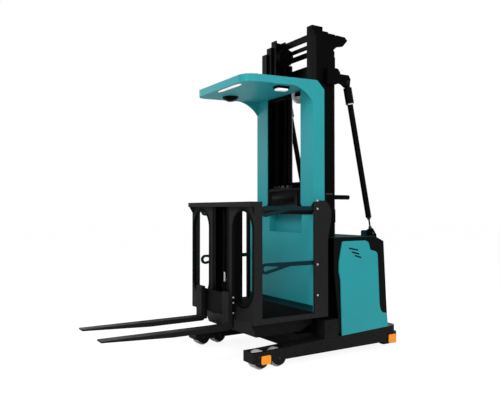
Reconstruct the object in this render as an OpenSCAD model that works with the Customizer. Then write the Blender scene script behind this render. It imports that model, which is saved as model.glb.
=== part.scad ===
// Order picker truck: straddle chassis, three stage mast, lifting cab with forks.
// X runs towards the fork tips, Y to the truck's left, Z up from the floor.
// The origin is on the floor, midway between fork tips and tail and on the centre plane.

/* [Straddle chassis] */
// Width over the two straddle legs
chassis_w = 1150; // [1100:10:1240]
// Width of one leg
leg_w = 146; // [120:2:160]
// Front end of the legs
leg_tip_x = 244; // [230:2:300]
// Rear end of the chassis
tail_x = -1385; // [-1450:5:-1370]
// Height of the leg's top at its front wheels
leg_tip_h = 147; // [140:1:170]
// Height of the leg's top at the tail
leg_tail_h = 204; // [190:1:215]
// Clear height under the legs
leg_under = 60; // [40:2:70]
// Radius of the tail's two corners in plan
tail_r = 60; // [20:5:90]
// Front face of the cross bed that carries the mast
bed_front_x = -330; // [-400:10:-300]
// Rear face of the bed
bed_rear_x = -824; // [-830:2:-822]
// Height of the bed's top
bed_top = 205; // [190:1:210]

/* [Load wheels] */
// Diameter of a load wheel
load_wheel_d = 150; // [120:2:156]
// Width of a load wheel
load_wheel_w = 80; // [60:2:90]
// Place of the front load axle
load_axle_x = 149; // [130:1:152]
// Distance between the two load axles
load_axle_step = 172; // [164:1:190]
// Diameter of a load axle
load_axle_d = 24; // [16:1:30]
// Length of the wheel pocket beyond the tyres
pocket_gap = 7; // [5:1:9]

/* [Drive unit] */
// Place of the drive wheel's steering axis
drive_x = -1092; // [-1096:2:-1088]
// Diameter of the drive wheel
drive_wheel_d = 250; // [220:5:260]
// Width of the drive wheel
drive_wheel_w = 82; // [60:2:90]
// Diameter of the drive motor
drive_motor_d = 160; // [120:2:166]
// Top of the drive motor
drive_motor_top = 690; // [600:10:800]
// Height of the shelf's underside over the drive wheel
shelf_z = 322; // [315:1:340]
// Thickness of the shelf
shelf_t = 18; // [12:1:25]

/* [Power body] */
// Height of the hood's top
hood_h = 1048; // [1000:2:1100]
// Front edge of the power body's side walls
hood_front_x = -620; // [-640:5:-615]
// Rear face at the foot of the rear wall
hood_rear_x = -1274; // [-1290:2:-1262]
// Lean of the rear wall from its foot to its top
hood_lean = 49; // [20:1:60]
// Wall of the black cover
cover_t = 14; // [8:1:16]
// Thickness of the teal side panels
panel_t = 12; // [8:1:20]
// Distance from the chassis' sides to the battery's ends
battery_inset = 160; // [120:5:220]
// Battery thickness along the truck
battery_l = 180; // [150:5:184]
// Gap between the battery and the hood's top sheet
battery_gap = 74; // [60:2:180]

/* [Mast] */
// Distance from the chassis' sides to the mast's sides
mast_inset = 135; // [134:1:145]
// Front face of the outer mast
mast_front_x = -520; // [-530:1:-519]
// Depth of the outer mast's channels along the truck
mast_depth = 205; // [190:1:210]
// Thickness of a channel's walls
channel_t = 15; // [10:1:16]
// Running clearance between two nested channels
nest_gap = 5; // [5:0.5:8]
// Width of a channel's flange across the truck
flange_w = 80; // [70:1:84]
// Step of each inner stage across the truck
stage_step = 55; // [50:1:58]
// Top of the outer mast
outer_top = 2880; // [2700:10:2890]
// Top of the middle stage
middle_top = 2940; // [2900:5:2960]
// Top of the inner stage
inner_top = 3000; // [2970:5:3050]
// Foot of the two moving stages above the bed
stage_foot = 20; // [10:1:40]

/* [Lift cylinders and stays] */
// Diameter of a lift cylinder's barrel
barrel_d = 76; // [60:2:80]
// Diameter of a lift cylinder's rod
rod_d = 45; // [30:1:50]
// Distance of a lift cylinder from the mast's side
barrel_inset = 110; // [90:2:140]
// Height of the barrel's top
barrel_top = 2780; // [2600:10:2800]
// Distance of a mast stay from the mast's side
stay_gap = 22; // [20:1:30]
// Height of the stay's upper eye
stay_eye_z = 2470; // [2450:1:2490]
// Place of the stay's upper eye
stay_eye_x = -860; // [-868:1:-850]
// Place of the stay tube's lower end
stay_end_x = -1134; // [-1140:1:-1120]
// Height of the stay tube's lower end above the hood
stay_end_h = 176; // [150:1:200]
// Place of the stay's foot on the hood
stay_foot_x = -1156; // [-1160:1:-1150]
// Height of the stay's foot above the hood
stay_foot_h = 60; // [50:1:66]
// Diameter of a stay's tube
stay_d = 54; // [40:1:56]
// Diameter of the sleeve at the stay's upper end
sleeve_d = 78; // [64:1:80]

/* [Cab] */
// Distance from the chassis' sides to the cab's sides
cab_inset = 15; // [5:1:25]
// Front face of the cab
cab_front_x = 216; // [190:2:230]
// Rear edge of the side openings
door_rear_x = -402; // [-410:1:-395]
// Front edge of the side openings
door_front_x = 142; // [130:2:150]
// Rear edge of the cab's rear posts
cab_rear_x = -550; // [-560:1:-540]
// Underside of the cab's sills
sill_z = 363; // [358:1:370]
// Top of the cab's sills and floor
floor_z = 404; // [396:1:415]
// Top of the front wall
front_wall_h = 1364; // [1300:4:1380]
// Thickness of the cab's front and side walls
wall_t = 20; // [12:1:26]
// Underside of the black frame below the cab floor
underframe_z = 228; // [222:1:260]
// Half of the pillar between the two front windows
window_inner_y = 212; // [200:2:216]
// Distance of the windows' outer edges from the cab's sides
window_edge = 30; // [28:1:60]
// Lower edge of the front windows
window_low_z = 492; // [470:2:520]
// Distance of the windows' upper ends from the front wall's top
window_top_gap = 74; // [70:2:160]
// Depth of the ledge along the front wall's top
ledge_l = 45; // [20:1:50]

/* [Overhead guard] */
// Distance from the cab's sides to the guard's sides
guard_inset = 106; // [104:1:110]
// Front edge of the guard
guard_front_x = 242; // [200:2:260]
// Top of the guard at its rear
guard_top = 2458; // [2440:2:2480]
// Thickness of the guard's roof at its front edge
guard_t = 64; // [50:2:70]
// Fall of the guard from rear to front
guard_fall = 28; // [0:2:40]
// Front face of the guard posts
post_x = -470; // [-474:1:-466]
// Thickness of the post sheets
post_t = 8; // [5:0.5:8]
// Width of a guard post
post_w = 184; // [160:2:190]

/* [Forks] */
// Length of a fork's blade
fork_l = 1075; // [900:5:1200]
// Width of a fork
fork_w = 100; // [80:2:110]
// Thickness of a fork at its heel
fork_t = 40; // [30:1:45]
// Height of the blade's top
fork_z = 330; // [320:1:340]
// Height of the shank's top
shank_z = 602; // [560:2:640]
// Distance of a fork from the centre plane
fork_y = 242; // [230:1:250]
// Front face of the shanks
shank_x = 308; // [300:1:312]
// Half width over the auxiliary mast
aux_half_w = 148; // [140:1:150]

/* [Gate bars] */
// Height of the lower gate bar's hinge
gate_low_z = 838; // [800:2:850]
// Gap between a gate bar's front end and the front of its opening
gate_gap = 5; // [5:1:40]
// Thickness of a gate bar across the truck
gate_d = 18; // [12:1:20]
// Height of a gate bar
gate_h = 36; // [30:1:40]
// Height of the loop at the front of a gate bar
gate_loop_h = 90; // [70:2:100]

/* [Hidden] */
$fn = 48;
leg_outer = chassis_w / 2;
leg_inner = leg_outer - leg_w;
load_r = load_wheel_d / 2;
load_y = leg_inner + leg_w / 2;
load_axles = [load_axle_x, load_axle_x - load_axle_step];
pocket_side_gap = 4;
axle_end_gap = 6;
pocket_w = load_wheel_w + 2 * pocket_side_gap;
running = 0.3;
bar_t = 16;
seat_gap = 0.3;
mast_out_y = leg_outer - mast_inset;
mast_rear_x = mast_front_x - mast_depth;
middle_front_x = mast_front_x - channel_t - nest_gap;
middle_depth = mast_depth - 2 * (channel_t + nest_gap);
inner_front_x = middle_front_x - channel_t - nest_gap;
inner_depth = middle_depth - 2 * (channel_t + nest_gap);
roller_r = inner_depth / 2 - channel_t - running;
roller_x = inner_front_x - inner_depth / 2;
roller_y = mast_out_y - 2 * stage_step - channel_t - 6;
cab_half = leg_outer - cab_inset;
guard_half = cab_half - guard_inset;
barrel_y = mast_out_y - barrel_inset;
stay_y = mast_out_y + stay_gap;
window_outer_y = cab_half - window_edge;
window_high_z = front_wall_h - window_top_gap;
post_inner_y = guard_half - post_w;
post_foot_z = front_wall_h - 38;
gate_high_z = front_wall_h - 54;
back_x = door_rear_x - 18;
back_t = 20;
gate_y = cab_half - 34;
shelf_top = shelf_z + shelf_t;
cyl_x = mast_rear_x - bar_t - 1 - barrel_d / 2;

// Height of the leg's top at a place along the truck
function leg_top(x) = leg_tip_h + (leg_tail_h - leg_tip_h) * (load_axle_x - x) / (load_axle_x - tail_x);

// A tall flat outline with half round ends
module stadium(low, high) {
    r = (high[0] - low[0]) / 2;
    translate([low[0], low[1] + r])
        square([2 * r, high[1] - low[1] - 2 * r]);
    for (y = [low[1] + r, high[1] - r])
        translate([low[0] + r, y])
            circle(r);
}

// A round rod from one point in X and Z to another, in the plane at y
module rod_xz(from, to, y, d) {
    run = to - from;
    translate([from[0], y, from[1]])
        rotate([0, atan2(run[0], run[1]), 0])
            cylinder(d = d, h = norm(run));
}

// An outline in X and Z, made t thick from y0 towards the left
module side_plate(y0, t) {
    translate([0, y0 + t, 0])
        rotate([90, 0, 0])
            linear_extrude(t)
                children();
}

// An outline in Y and Z, made t thick from x0 towards the forks
module front_plate(x0, t) {
    translate([x0, 0, 0])
        rotate([90, 0, 90])
            linear_extrude(t)
                children();
}

// An outline in X and Y, made t thick from z0 upwards
module floor_plate(z0, t) {
    translate([0, 0, z0])
        linear_extrude(t)
            children();
}

// A box between two corners
module block(low, high) {
    translate(low)
        cube(high - low);
}

// A flat rectangle between two corners, its own corners rounded
module round_rect(low, high, r) {
    translate([low[0] + r, low[1]])
        square([high[0] - low[0] - 2 * r, high[1] - low[1]]);
    translate([low[0], low[1] + r])
        square([high[0] - low[0], high[1] - low[1] - 2 * r]);
    for (x = [low[0] + r, high[0] - r], y = [low[1] + r, high[1] - r])
        translate([x, y])
            circle(r);
}

// A round bar across the truck, centred at y
module cross_bar(x, y, z, d, len) {
    translate([x, y + len / 2, z])
        rotate([90, 0, 0])
            cylinder(d = d, h = len);
}

// An upright round bar
module upright(x, y, z0, z1, d) {
    translate([x, y, z0])
        cylinder(d = d, h = z1 - z0);
}

module both_sides() {
    children();
    mirror([0, 1, 0])
        children();
}

// Straddle chassis

module leg_outline() {
    polygon([
        [leg_tip_x, leg_under],
        [leg_tip_x, leg_tip_h],
        [load_axle_x, leg_tip_h],
        [tail_x, leg_tail_h],
        [tail_x, leg_under]
    ]);
    for (x = load_axles)
        translate([x, load_r])
            circle(d = axle_boss_d);
}

axle_boss_d = 112;

module wheel_pocket() {
    block([load_axles[1] - load_r - pocket_gap, load_y - pocket_w / 2, 0],
          [load_axles[0] + load_r + pocket_gap, load_y + pocket_w / 2, leg_tail_h + 1]);
}

module leg() {
    difference() {
        side_plate(leg_inner, leg_w)
            leg_outline();
        wheel_pocket();
        for (x = load_axles)
            cross_bar(x, load_y, load_r, load_axle_d, leg_w + 2);
    }
}

tail_bar_l = 155;

module straddle_legs() {
    color([0.13, 0.13, 0.13])
        intersection() {
            union() {
                both_sides()
                    leg();
                block([tail_x, -leg_inner - 1, leg_under],
                      [tail_x + tail_bar_l, leg_inner + 1, leg_tail_h]);
            }
            floor_plate(0, leg_tail_h + 1)
                union() {
                    round_rect([tail_x, -leg_outer], [leg_tip_x, leg_outer], tail_r);
                    translate([tail_x + tail_r, -leg_outer])
                        square([leg_tip_x - tail_x - tail_r, chassis_w]);
                }
        }
    color([0.13, 0.13, 0.13])
        both_sides()
            floor_plate(lamp_box_z[0], lamp_box_z[1] - lamp_box_z[0])
                round_rect([tail_x, leg_outer - lamp_box_w], [tail_x + lamp_box_l, leg_outer], lamp_box_r);
}

// Box that holds a rear lamp, flush with the leg's side
lamp_box_z = [37, 145];
lamp_box_l = 178;
lamp_box_w = 60;
lamp_box_r = 14;

module mast_bed() {
    color([0.1, 0.1, 0.1])
        block([bed_rear_x, -leg_inner, leg_under], [bed_front_x, leg_inner, bed_top]);
}

module load_axles() {
    color([0.5, 0.5, 0.52])
        both_sides()
            for (x = load_axles)
                cross_bar(x, load_y, load_r, load_axle_d, leg_w - 2 * axle_end_gap);
}

module load_wheel(x, side) {
    color([0.75, 0.75, 0.75])
        translate([x, side * load_y, load_r])
            rotate([90, 0, 0])
                difference() {
                    cylinder(d = load_wheel_d, h = load_wheel_w, center = true);
                    cylinder(d = load_axle_d + 2 * running, h = load_wheel_w + 2, center = true);
                }
}

module load_wheel_1() {
    load_wheel(load_axles[0], 1);
}

module load_wheel_2() {
    load_wheel(load_axles[1], 1);
}

module load_wheel_3() {
    load_wheel(load_axles[0], -1);
}

module load_wheel_4() {
    load_wheel(load_axles[1], -1);
}

// Front and rear marker lamps: low x, low z, width, height
lamp_t = 10;
lamp_r = 12;
lamps = [
    [74, 47, 92, 70],
    [-1366, 42, 96, 80]
];

module marker_lamps() {
    color([0.95, 0.55, 0.1])
        both_sides()
            for (l = lamps)
                side_plate(leg_outer, lamp_t)
                    round_rect([l[0], l[1]], [l[0] + l[2], l[1] + l[3]], lamp_r);
}

block_x = [-655, -498];
block_top = 332;
block_w = 105;
block_gap = 9;

module foot_blocks() {
    color([0.16, 0.16, 0.16])
        both_sides()
            side_plate(leg_outer - block_w, block_w)
                polygon([
                    [block_x[0], leg_top(block_x[0]) + seat_gap],
                    [block_x[1], leg_top(block_x[1]) + seat_gap],
                    [block_x[1], block_top],
                    [block_x[0], block_top]
                ]);
}

// Power body

shelf_inset = 65;
shelf_rear_gap = 30;
shelf_cheek_t = 20;
motor_gap = 6;
shelf_half = leg_outer - shelf_inset;
shelf_rear_x = hood_rear_x + shelf_rear_gap;

module power_shelf() {
    color([0.12, 0.12, 0.12]) {
        difference() {
            block([shelf_rear_x, -shelf_half, shelf_z], [bed_rear_x, shelf_half, shelf_top]);
            upright(drive_x, 0, shelf_z - 1, shelf_top + 1, drive_motor_d + 2 * motor_gap);
        }
        both_sides()
            side_plate(shelf_half - shelf_cheek_t, shelf_cheek_t)
                polygon([
                    [shelf_rear_x, leg_top(shelf_rear_x) + seat_gap],
                    [bed_rear_x, leg_top(bed_rear_x) + seat_gap],
                    [bed_rear_x, shelf_z],
                    [shelf_rear_x, shelf_z]
                ]);
    }
}

battery_motor_gap = 8;
battery_rear_x = drive_x + drive_motor_d / 2 + battery_motor_gap;

module battery() {
    color([0.2, 0.2, 0.22])
        block([battery_rear_x, battery_inset - leg_outer, shelf_top],
              [battery_rear_x + battery_l, leg_outer - battery_inset, hood_h - cover_t - battery_gap]);
}

// Side view of the power body, drawn in by a wall thickness
module hood_outline(inset) {
    foot_z = leg_tail_h + seat_gap - inset;
    polygon([
        [block_x[0] - block_gap + inset, foot_z],
        [block_x[0] - block_gap + inset, block_top + 30],
        [hood_front_x + inset, hood_h - 300],
        [hood_front_x + inset, hood_h - inset],
        [hood_rear_x + hood_lean + 100, hood_h - inset],
        [hood_rear_x + hood_lean + inset, hood_h - 46 - inset],
        [hood_rear_x + inset, foot_z]
    ]);
}

cover_half = leg_outer - panel_t;

module rear_cover() {
    color([0.08, 0.09, 0.09])
        difference() {
            side_plate(-cover_half, 2 * cover_half)
                hood_outline(0);
            side_plate(cover_t - cover_half, 2 * (cover_half - cover_t))
                hood_outline(cover_t);
            block([bed_rear_x, cover_t - cover_half, leg_tail_h - 1],
                  [hood_front_x + 1, cover_half - cover_t, hood_h + 1]);
        }
}

module panel_outline() {
    polygon([
        [hood_front_x - 80, leg_top(hood_front_x - 80) + seat_gap],
        [hood_front_x - 71, 496],
        [hood_front_x - 65, 673],
        [hood_front_x - 47, 745],
        [hood_front_x - 49, 834],
        [hood_front_x - 86, hood_h - 40],
        [hood_front_x - 96, hood_h - 33],
        [hood_rear_x + 289, hood_h - 33],
        [hood_rear_x + 256, hood_h - 48],
        [hood_rear_x + 242, hood_h - 78],
        [hood_rear_x + 235, hood_h - 108],
        [hood_rear_x + 222, hood_h - 123],
        [hood_rear_x + 171, hood_h - 134],
        [hood_rear_x + 148, hood_h - 146],
        [hood_rear_x + 137, hood_h - 168],
        [hood_rear_x + 115, 422],
        [hood_rear_x + 104, 372],
        [hood_rear_x + 78, 338],
        [hood_rear_x + 19, 325],
        [hood_rear_x + 5, leg_top(hood_rear_x) + seat_gap]
    ]);
}

module side_panels() {
    color([0.2, 0.57, 0.6])
        both_sides()
            side_plate(cover_half, panel_t)
                panel_outline();
}

// Drive unit

yoke_ring_w = 20;
yoke_ring_t = 40;
yoke_leg_t = 22;
yoke_leg_w = 90;
yoke_gap = 8;
drive_axle_d = 36;
yoke_r = drive_motor_d / 2 + yoke_ring_w;
yoke_top = shelf_z - seat_gap;

module drive_yoke() {
    color([0.3, 0.3, 0.32]) {
        upright(drive_x, 0, yoke_top - yoke_ring_t, yoke_top, 2 * yoke_r);
        translate([drive_x, 0, 0])
            both_sides()
                side_plate(drive_wheel_w / 2 + yoke_gap, yoke_leg_t)
                    union() {
                        translate([-yoke_leg_w / 2, drive_wheel_d / 2])
                            square([yoke_leg_w, yoke_top - yoke_ring_t - drive_wheel_d / 2]);
                        translate([0, drive_wheel_d / 2])
                            circle(d = yoke_leg_w);
                    }
        cross_bar(drive_x, 0, drive_wheel_d / 2, drive_axle_d, drive_wheel_w + 2 * (yoke_gap + yoke_leg_t));
    }
}

module drive_motor() {
    color([0.25, 0.25, 0.27])
        upright(drive_x, 0, yoke_top, drive_motor_top, drive_motor_d);
}

module drive_wheel() {
    color([0.1, 0.1, 0.1])
        translate([drive_x, 0, drive_wheel_d / 2])
            rotate([90, 0, 0])
                difference() {
                    cylinder(d = drive_wheel_d, h = drive_wheel_w, center = true);
                    cylinder(d = drive_axle_d + 2 * running, h = drive_wheel_w + 2, center = true);
                }
}

// Mast

// Plan of one upright channel whose web lies outboard
module channel_plan(front_x, depth, out_y) {
    difference() {
        translate([front_x - depth, out_y - flange_w])
            square([depth, flange_w]);
        translate([front_x - depth + channel_t, out_y - flange_w - 1])
            square([depth - 2 * channel_t, flange_w - channel_t + 1]);
    }
}

module mast_uprights(front_x, depth, out_y, z0, z1) {
    both_sides()
        floor_plate(z0, z1 - z0)
            channel_plan(front_x, depth, out_y);
}

// Guide rollers on a stage's webs, which run in the next stage's channels
module stage_rollers(front_x, depth, web_y) {
    both_sides()
        for (z = stage_roller_z)
            cross_bar(front_x - depth / 2, web_y + stage_step / 2 - channel_t / 2, z,
                      depth - 2 * channel_t - 2 * running, stage_step - channel_t - 2 * running);
}

stage_roller_z = [bed_top + stage_foot + 110, bed_top + stage_foot + 700];

// Flat bar between a stage's two uprights: lower edge, height
module stage_bars(front_x, thick, half, bars) {
    for (b = bars)
        block([front_x - thick, -half, b[0]], [front_x, half, b[0] + b[1]]);
}

outer_bar_table = [[bed_top, 220], [bed_top + 975, 120], [outer_top - 320, 135]];
middle_bar_table = [[bed_top + stage_foot, 120], [bed_top + 1265, 100], [middle_top - 172, 50]];
inner_bar_table = [[bed_top + stage_foot + 140, 100], [inner_top - 162, 38], [inner_top - 84, 64]];

module outer_mast() {
    color([0.07, 0.07, 0.07]) {
        mast_uprights(mast_front_x, mast_depth, mast_out_y, bed_top, outer_top);
        stage_bars(mast_rear_x, bar_t, mast_out_y, outer_bar_table);
    }
}

crosshead_z = outer_top + 8;
crosshead_edge = 10;
crosshead_y = [-20, 30];
middle_out_y = mast_out_y - stage_step;
inner_out_y = middle_out_y - stage_step;

module middle_mast() {
    color([0.09, 0.09, 0.09]) {
        mast_uprights(middle_front_x, middle_depth, middle_out_y, bed_top + stage_foot, middle_top);
        both_sides()
            block([cyl_x - rod_d / 2 - crosshead_edge, barrel_y + crosshead_y[0], crosshead_z],
                  [middle_front_x - middle_depth + 1, barrel_y + crosshead_y[1], middle_top]);
        stage_rollers(mast_front_x, mast_depth, middle_out_y);
    }
}

module middle_bars() {
    color([0.09, 0.09, 0.09])
        stage_bars(middle_front_x - middle_depth + channel_t, channel_t, middle_out_y - flange_w,
                   middle_bar_table);
}

module inner_mast() {
    color([0.08, 0.08, 0.08]) {
        mast_uprights(inner_front_x, inner_depth, inner_out_y, bed_top + stage_foot, inner_top);
        stage_rollers(middle_front_x, middle_depth, inner_out_y);
    }
}

module inner_bars() {
    color([0.08, 0.08, 0.08])
        stage_bars(inner_front_x - inner_depth + channel_t, channel_t, inner_out_y - flange_w,
                   inner_bar_table);
}

module lift_barrels() {
    color([0.1, 0.1, 0.1])
        both_sides()
            difference() {
                upright(cyl_x, barrel_y, bed_top, barrel_top, barrel_d);
                upright(cyl_x, barrel_y, bed_top + 40, barrel_top + 1, rod_d + 4);
            }
}

module lift_rods() {
    color([0.6, 0.6, 0.62])
        both_sides()
            upright(cyl_x, barrel_y, bed_top + 60, crosshead_z, rod_d);
}

stay_eye_t = 24;
stay_eye_d = 66;
neck_d = 16;
sleeve_l = [45, 200];
stay_eye = [stay_eye_x, stay_eye_z];
stay_end = [stay_end_x, hood_h + stay_end_h];
stay_foot = [stay_foot_x, hood_h + stay_foot_h];
stay_foot_w = 40;

// Point on the stay's axis at a distance below its eye
function on_stay(l) = stay_eye + (stay_end - stay_eye) * l / norm(stay_end - stay_eye);

module stay_lug_outline() {
    polygon([
        [mast_rear_x + 111, stay_eye_z - 38],
        [mast_rear_x + 111, stay_eye_z + 120],
        [stay_eye_x + 122, stay_eye_z + 114],
        [stay_eye_x + 95, stay_eye_z + 82],
        [stay_eye_x + 95, stay_eye_z + 68],
        [stay_eye_x - 7, stay_eye_z + 70],
        [stay_eye_x - 30, stay_eye_z + 35],
        [stay_eye_x - 20, stay_eye_z - 30],
        [stay_eye_x + 15, stay_eye_z - 42],
        [stay_eye_x + 60, stay_eye_z - 15],
        [stay_eye_x + 87, stay_eye_z - 10],
        [stay_eye_x + 149, stay_eye_z - 34]
    ]);
}

module stay_foot_outline() {
    difference() {
        polygon([
            [stay_foot_x + 24, hood_h - 60],
            [stay_foot_x + 24, hood_h + 64],
            [stay_foot_x - 14, hood_h + 74],
            [stay_foot_x - 58, hood_h + 14],
            [stay_foot_x - 66, hood_h - 30],
            [stay_foot_x - 66, hood_h - 60]
        ]);
        translate([0, seat_gap])
            hood_outline(0);
    }
}

module mast_stays() {
    color([0.08, 0.08, 0.08])
        both_sides() {
            for (y = [mast_out_y, stay_y + stay_eye_t / 2])
                side_plate(y, stay_gap - stay_eye_t / 2)
                    stay_lug_outline();
            cross_bar(stay_eye_x, stay_y, stay_eye_z, stay_eye_d, stay_eye_t);
            rod_xz(stay_eye, stay_end, stay_y, stay_d);
            rod_xz(on_stay(sleeve_l[0]), on_stay(sleeve_l[1]), stay_y, sleeve_d);
            rod_xz(stay_end, stay_foot, stay_y, neck_d);
            side_plate(stay_y - stay_foot_w / 2, stay_foot_w)
                stay_foot_outline();
        }
}

horn_t = 14;
arm_z = 1412;
arm_d = 42;
arm_l = 191;

module mast_fittings() {
    color([0.08, 0.08, 0.08]) {
        both_sides()
            side_plate(mast_out_y - horn_t, horn_t)
                polygon([
                    [mast_rear_x, outer_top - 115],
                    [mast_rear_x, outer_top + 15],
                    [mast_rear_x - 40, outer_top + 25],
                    [mast_rear_x - 134, outer_top + 22],
                    [mast_rear_x - 167, outer_top - 5],
                    [mast_rear_x - 110, outer_top - 68],
                    [mast_rear_x - 35, outer_top - 85]
                ]);
        translate([mast_rear_x, mast_out_y - arm_d / 2, arm_z])
            rotate([0, -90, 0])
                cylinder(d = arm_d, h = arm_l);
    }
}

// Cab

carriage_x = mast_front_x + 12;
carriage_half = mast_out_y - 10;
carriage_top = front_wall_h - 164;
carriage_roller_edge = 50;
carriage_rollers = [470, carriage_top - carriage_roller_edge];
carriage_low = [420, 560];
carriage_high = [front_wall_h - 434, front_wall_h - 299];
carriage_axle_d = 40;
plate_y = roller_y - 95;
plate_t = 25;

module mast_carriage() {
    color([0.12, 0.12, 0.12]) {
        both_sides() {
            for (z = carriage_rollers) {
                cross_bar(roller_x, roller_y - 20, z, 2 * roller_r, 40);
                cross_bar(roller_x, roller_y - 55, z, carriage_axle_d, 50);
            }
            block([roller_x - 30, plate_y, carriage_low[0]],
                  [carriage_x, plate_y + plate_t, carriage_high[1]]);
            block([roller_x - 30, plate_y, carriage_high[1] - 1],
                  [pocket_x - pocket_t - seat_gap, plate_y + plate_t, carriage_top]);
            block([carriage_x, pocket_y[1] + pocket_t + 5, carriage_high[1] - 5],
                  [post_x - post_t, carriage_half, post_foot_z + 100]);
        }
        block([carriage_x, -carriage_half, carriage_low[0]],
              [floor_rear_x, carriage_half, carriage_low[1]]);
        block([carriage_x, -carriage_half, carriage_high[0]],
              [back_x - back_t, carriage_half, carriage_high[1]]);
    }
}

floor_rear_x = mast_front_x + 36;

floor_foot_z = sill_z - 3;
underframe_half = mast_out_y - 25;
underframe_front_x = cab_front_x - 51;

module cab_underframe() {
    color([0.06, 0.06, 0.06])
        side_plate(-underframe_half, 2 * underframe_half)
            polygon([
                [floor_rear_x, floor_foot_z],
                [floor_rear_x, underframe_z + 60],
                [bed_front_x - 20, underframe_z],
                [underframe_front_x - 55, underframe_z],
                [underframe_front_x, floor_foot_z]
            ]);
}

module cab_floor() {
    color([0.1, 0.1, 0.1])
        difference() {
            block([floor_rear_x, -cab_half + wall_t, floor_foot_z],
                  [cab_front_x - wall_t, cab_half - wall_t, floor_z]);
            block([aux_case_x - 1, -aux_slot_half, floor_foot_z - 1],
                  [cab_front_x, aux_slot_half, floor_z + 1]);
            for (side = [0, 1])
                mirror([0, side, 0])
                    block([floor_rear_x - 1, mast_out_y + 7, floor_foot_z - 1],
                          [door_rear_x - 43, cab_half, floor_z + 1]);
        }
}

aux_top = front_wall_h - 39;
aux_case_x = cab_front_x - 137;
aux_rear_x = cab_front_x - 96;
ledge_h = 40;
ledge_end_t = 8;
aux_slot_half = aux_half_w + 4;

module front_wall_outline() {
    difference() {
        translate([-cab_half + wall_t, sill_z])
            square([2 * (cab_half - wall_t), front_wall_h - sill_z]);
        for (side = [0, 1])
            mirror([side, 0])
                stadium([window_inner_y, window_low_z], [window_outer_y, window_high_z]);
        translate([-aux_slot_half, sill_z - 1])
            square([2 * aux_slot_half, aux_top + 4 - sill_z]);
    }
}

module front_wall() {
    color([0.14, 0.14, 0.14]) {
        front_plate(cab_front_x - wall_t, wall_t)
            front_wall_outline();
        block([cab_front_x - 1, wall_t - cab_half, front_wall_h - ledge_h],
              [cab_front_x + ledge_l, cab_half - wall_t, front_wall_h]);
        block([cab_front_x + seat_gap, -cab_half, front_wall_h - ledge_h],
              [cab_front_x + ledge_l, cab_half, front_wall_h]);
        both_sides()
            side_plate(cab_half - wall_t - ledge_end_t, ledge_end_t)
                polygon([
                    [cab_front_x - 1, front_wall_h - ledge_h + 1],
                    [cab_front_x + ledge_l, front_wall_h - ledge_h + 1],
                    [cab_front_x - 1, front_wall_h - ledge_h - 74]
                ]);
    }
}

module side_frame_outline() {
    polygon([
        [cab_front_x, sill_z],
        [cab_front_x, front_wall_h],
        [door_front_x, front_wall_h],
        [door_front_x, floor_z],
        [door_rear_x, floor_z],
        [door_rear_x, front_wall_h - 34],
        [door_rear_x - 30, front_wall_h + 6],
        [door_rear_x - 67, front_wall_h + 14],
        [cab_rear_x + 20, front_wall_h + 12],
        [cab_rear_x - 23, front_wall_h - 34],
        [cab_rear_x - 40, front_wall_h - 84],
        [cab_rear_x - 34, front_wall_h - 161],
        [cab_rear_x - 16, front_wall_h - 246],
        [cab_rear_x, front_wall_h - 330],
        [cab_rear_x, sill_z]
    ]);
}

module side_frame_left() {
    color([0.15, 0.15, 0.15]) {
        side_plate(cab_half - wall_t, wall_t)
            side_frame_outline();
        block([cab_rear_x, mast_out_y + 8, sill_z],
              [door_rear_x - 44, cab_half - wall_t, front_wall_h - 64]);
    }
}

module side_frame_right() {
    mirror([0, 1, 0])
        side_frame_left();
}

back_wall_top = front_wall_h - 89;
back_half = gate_y - gate_d / 2 - 7;
pocket_t = 6;
pocket_x = mast_front_x + 10 + pocket_t;
pocket_side = 160;
pocket_far_side = 350;
pocket_y = [pocket_far_side - back_half, back_half - pocket_side];
pocket_z = front_wall_h - 276;

module back_wall() {
    color([0.2, 0.57, 0.6])
        difference() {
            union() {
                block([back_x - back_t, -back_half, floor_z], [back_x, back_half, back_wall_top]);
                block([pocket_x - pocket_t, pocket_y[0] - pocket_t, pocket_z - pocket_t],
                      [back_x - 1, pocket_y[1] + pocket_t, back_wall_top]);
            }
            block([pocket_x, pocket_y[0], pocket_z], [back_x + 1, pocket_y[1], back_wall_top + 1]);
        }
}

console_h = 225;
console_side_gap = 8;
console_top = back_wall_top + console_h;
console_half = post_inner_y - console_side_gap;
shelf_cover_h = 30;

module console() {
    color([0.05, 0.05, 0.05]) {
        block([carriage_x, -pocket_y[1] - pocket_t, back_wall_top],
              [back_x, pocket_y[1] + pocket_t, back_wall_top + shelf_cover_h]);
        block([back_x - back_t, -back_half, back_wall_top],
              [back_x, back_half, back_wall_top + shelf_cover_h]);
        block([carriage_x, -console_half, back_wall_top + shelf_cover_h - 1],
              [post_x + 2, console_half, console_top]);
    }
}

roof_fall_l = 744;
roof_angle = atan(guard_fall / roof_fall_l);
roof_rear_x = guard_front_x - roof_fall_l;
cheek_proud = 1;
cheek_rear_x = -600;
post_corner_r = 40;
post_chamfer = 33;
cheek_foot_z = post_foot_z + post_chamfer + 9;

// Height of the roof's top and of its underside at a place along the truck
function roof_top(x) = guard_top - guard_fall + (guard_front_x - x) * tan(roof_angle);
function roof_under(x) = roof_top(x) - guard_t / cos(roof_angle);

post_top_z = roof_under(post_x) - seat_gap;
guard_seat_z = post_top_z - 40;

module post_outline() {
    outer_y = guard_half - post_t;
    polygon([
        [post_inner_y, post_foot_z + post_corner_r],
        [post_inner_y + post_corner_r, post_foot_z],
        [outer_y - post_chamfer, post_foot_z],
        [outer_y, post_foot_z + post_chamfer],
        [outer_y, post_top_z],
        [post_inner_y, post_top_z]
    ]);
    translate([post_inner_y + post_corner_r, post_foot_z + post_corner_r])
        circle(post_corner_r);
}

module guard_posts() {
    color([0.2, 0.57, 0.6])
        both_sides() {
            front_plate(post_x - post_t, post_t)
                post_outline();
            block([cheek_rear_x, guard_half - post_t, cheek_foot_z], [post_x, guard_half, guard_seat_z]);
        }
}

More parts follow.
